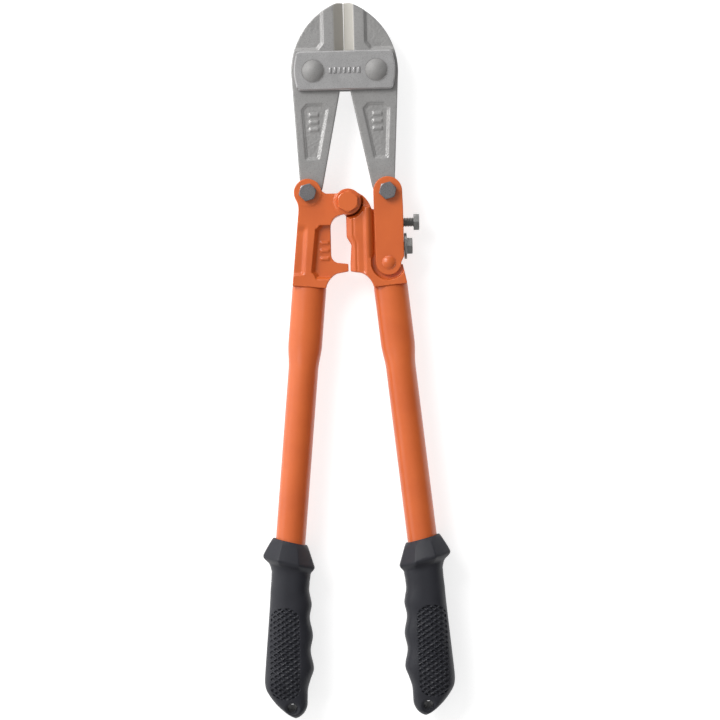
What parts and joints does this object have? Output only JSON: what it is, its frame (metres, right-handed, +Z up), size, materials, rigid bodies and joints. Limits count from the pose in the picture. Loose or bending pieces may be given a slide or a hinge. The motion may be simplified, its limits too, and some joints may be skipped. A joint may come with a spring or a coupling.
{
  "type": "bolt cutters",
  "caption": "Compound-lever bolt cutters with two cutting jaws, riveted link plates, forged handle fittings, a side screw adjuster and long tube handles with moulded grips.",
  "frame": {"origin": "on the centre bolt's axis, at the flat outer face of the centre nut, which the tool rests on when it lies flat", "axes": "+Y from the handles to the jaw tips, +X to the right seen from the front, +Z up through the thickness towards the front face; closed position"},
  "size_m": [0.12, 0.45, 0.032],
  "materials": {
    "jaw_steel": "forged and ground alloy steel, satin grey with bright ground bevels",
    "plate_steel": "satin steel with a fine grain",
    "rivet_steel": "smooth pressed steel",
    "orange_paint": "glossy orange-red paint over forged steel and tube",
    "bolt_steel": "dark bluish steel",
    "zinc_steel": "zinc-plated steel",
    "grip_rubber": "matt charcoal moulded vinyl"
  },
  "bodies": {
    "left_handle": {"left_fitting": "orange_paint", "left_tube": "orange_paint", "left_grip": "grip_rubber", "left_jaw_bolt": "bolt_steel", "left_jaw_spring_washer": "zinc_steel", "left_jaw_nut": "bolt_steel", "centre_bolt": "orange_paint", "centre_washer": "zinc_steel", "centre_nut": "bolt_steel"},
    "right_handle": {"right_fitting": "orange_paint", "right_tube": "orange_paint", "right_grip": "grip_rubber", "adjuster_rivet": "orange_paint"},
    "left_jaw": {"left_jaw": "jaw_steel"},
    "right_jaw": {"right_jaw": "jaw_steel"},
    "link": {"front_link_plate": "plate_steel", "back_link_plate": "plate_steel", "left_link_rivet": "rivet_steel", "right_link_rivet": "rivet_steel"},
    "adjuster_arm": {"adjuster_arm": "orange_paint"},
    "right_jaw_bolt": {"right_jaw_bolt": "bolt_steel", "right_jaw_spring_washer": "zinc_steel", "right_jaw_nut": "bolt_steel"},
    "adjusting_screw": {"adjusting_screw": "zinc_steel"},
    "locking_screw": {"locking_screw": "zinc_steel", "locking_washer": "zinc_steel"}
  },
  "joints": [
    {"name": "handle_pivot", "type": "hinge", "parent": "left_handle", "child": "right_handle", "pos_m": [0, 0, 0.016], "axis": [0, 0, 1], "range_deg": [0, 100]},
    {"name": "left_jaw_pivot", "type": "hinge", "parent": "left_handle", "child": "left_jaw", "pos_m": [-0.0252, 0.0063, 0.016], "axis": [0, 0, 1], "range_deg": [0, 60.4]},
    {"name": "link_pivot", "type": "hinge", "parent": "left_jaw", "child": "link", "pos_m": [-0.0199, 0.0825, 0.016], "axis": [0, 0, 1], "range_deg": [-10.4, 0]},
    {"name": "adjuster_pivot", "type": "hinge", "parent": "right_handle", "child": "adjuster_arm", "pos_m": [0.0247, -0.0387, 0.016], "axis": [0, 0, 1], "range_deg": [0, 1.14]},
    {"name": "right_jaw_bolt_turn", "type": "hinge", "parent": "adjuster_arm", "child": "right_jaw_bolt", "pos_m": [0.0252, 0.0063, 0.016], "axis": [0, 0, 1], "range_deg": [-1.82, 0]},
    {"name": "right_jaw_pivot", "type": "hinge", "parent": "right_jaw_bolt", "child": "right_jaw", "pos_m": [0.0252, 0.0063, 0.016], "axis": [0, 0, 1], "range_deg": [-60.4, 0]},
    {"name": "adjusting_screw_turn", "type": "hinge", "parent": "right_handle", "child": "adjusting_screw", "pos_m": [0.041, -0.0136, 0.016], "axis": [1, 0, 0], "range_deg": [0, 180.11]},
    {"name": "locking_screw_turn", "type": "hinge", "parent": "right_handle", "child": "locking_screw", "pos_m": [0.03645, -0.0285, 0.016], "axis": [1, 0, 0], "range_deg": [0, 180]}
  ],
  "couplings": [
    {"joint": "left_jaw_pivot", "follows": "handle_pivot", "ratio": 0.60389},
    {"joint": "right_jaw_pivot", "follows": "handle_pivot", "ratio": -0.60389},
    {"joint": "link_pivot", "follows": "handle_pivot", "ratio": -0.10389},
    {"joint": "right_jaw_bolt_turn", "follows": "adjuster_pivot", "ratio": -1.5906},
    {"joint": "adjusting_screw_turn", "follows": "adjuster_pivot", "ratio": 157.71}
  ]
}
